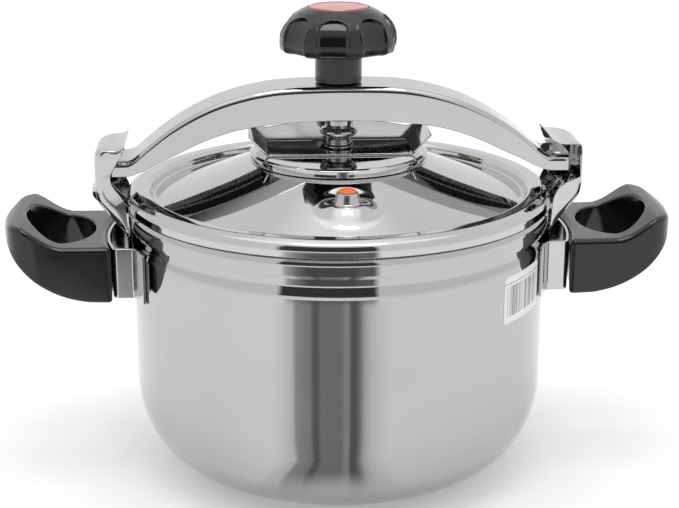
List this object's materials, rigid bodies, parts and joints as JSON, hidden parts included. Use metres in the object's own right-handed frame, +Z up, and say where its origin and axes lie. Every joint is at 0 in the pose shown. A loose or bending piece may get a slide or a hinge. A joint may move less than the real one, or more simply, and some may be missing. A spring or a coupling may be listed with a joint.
{
  "type": "stovetop pressure cooker",
  "caption": "Polished steel stovetop pressure cooker with side handles, a swing-in arch under hooks, a central screw knob, a safety valve and a weight regulator.",
  "frame": {"origin": "centre of the base's flat resting face", "axes": "+Z up along the pot's axis; the side handles and the arch lie along X; the safety valve is towards -Y"},
  "size_m": [0.356, 0.2266, 0.2509],
  "materials": {
    "polished_steel": "mirror-polished stainless steel",
    "pressed_steel": "bright pressed stainless steel",
    "turned_steel": "bright turned steel",
    "core_aluminium": "plain",
    "vent_brass": "plain turned",
    "bakelite": "glossy black bakelite",
    "badge_red": "red enamel, no lettering",
    "gasket_silicone": "translucent grey silicone",
    "cap_silicone": "orange silicone",
    "washer_rubber": "black rubber"
  },
  "bodies": {
    "pot": {"pot_body": "polished_steel", "base_core": "core_aluminium", "base_cap": "pressed_steel", "bracket_left": "pressed_steel", "bracket_right": "pressed_steel", "handle_left": "bakelite", "handle_right": "bakelite", "handle_screw_left": "turned_steel", "handle_screw_right": "turned_steel", "hook_left": "pressed_steel", "hook_right": "pressed_steel"},
    "lid": {"lid": "polished_steel", "lid_gasket": "gasket_silicone", "pressure_plate": "polished_steel", "stud_gasket": "washer_rubber", "threaded_stud": "turned_steel", "stud_washer": "turned_steel", "stud_nut": "turned_steel", "safety_body": "turned_steel", "safety_washer": "washer_rubber", "safety_nut": "turned_steel", "safety_spring": "turned_steel", "vent_pipe": "vent_brass", "vent_washer": "washer_rubber", "vent_nut": "turned_steel"},
    "saddle": {"saddle_plate": "pressed_steel"},
    "arch": {"arch": "polished_steel"},
    "knob": {"knob": "bakelite", "knob_badge": "badge_red", "knob_screw": "turned_steel", "jack_sleeve": "turned_steel"},
    "safety_plug": {"safety_stem": "turned_steel", "safety_cap": "cap_silicone"},
    "regulator": {"regulator_weight": "turned_steel", "regulator_cap": "bakelite"}
  },
  "joints": [
    {"name": "lid_lift", "type": "slide", "parent": "pot", "child": "lid", "axis": [0, 0, 1], "range_m": [0, 0.004]},
    {"name": "arch_swing", "type": "hinge", "parent": "lid", "child": "saddle", "pos_m": [0, 0, 0.175], "axis": [0, 0, 1], "range_deg": [-60, 0]},
    {"name": "arch_rise", "type": "slide", "parent": "saddle", "child": "arch", "axis": [0, 0, 1], "range_m": [0, 0.0046]},
    {"name": "knob_turn", "type": "hinge", "parent": "arch", "child": "knob", "pos_m": [0, 0, 0.21], "axis": [0, 0, 1], "range_deg": [-810, 0]},
    {"name": "safety_release", "type": "slide", "parent": "lid", "child": "safety_plug", "axis": [0, 0, 1], "range_m": [0, 0.002], "stiffness_N_per_m": 1500, "springref_m": -0.002, "deforming": ["safety_spring"]},
    {"name": "regulator_lift", "type": "slide", "parent": "lid", "child": "regulator", "axis": [0, 0, 1], "range_m": [0, 0.003]}
  ],
  "couplings": [
    {"joint": "arch_rise", "follows": "knob_turn", "m_per_rad": -0.00031831}
  ]
}
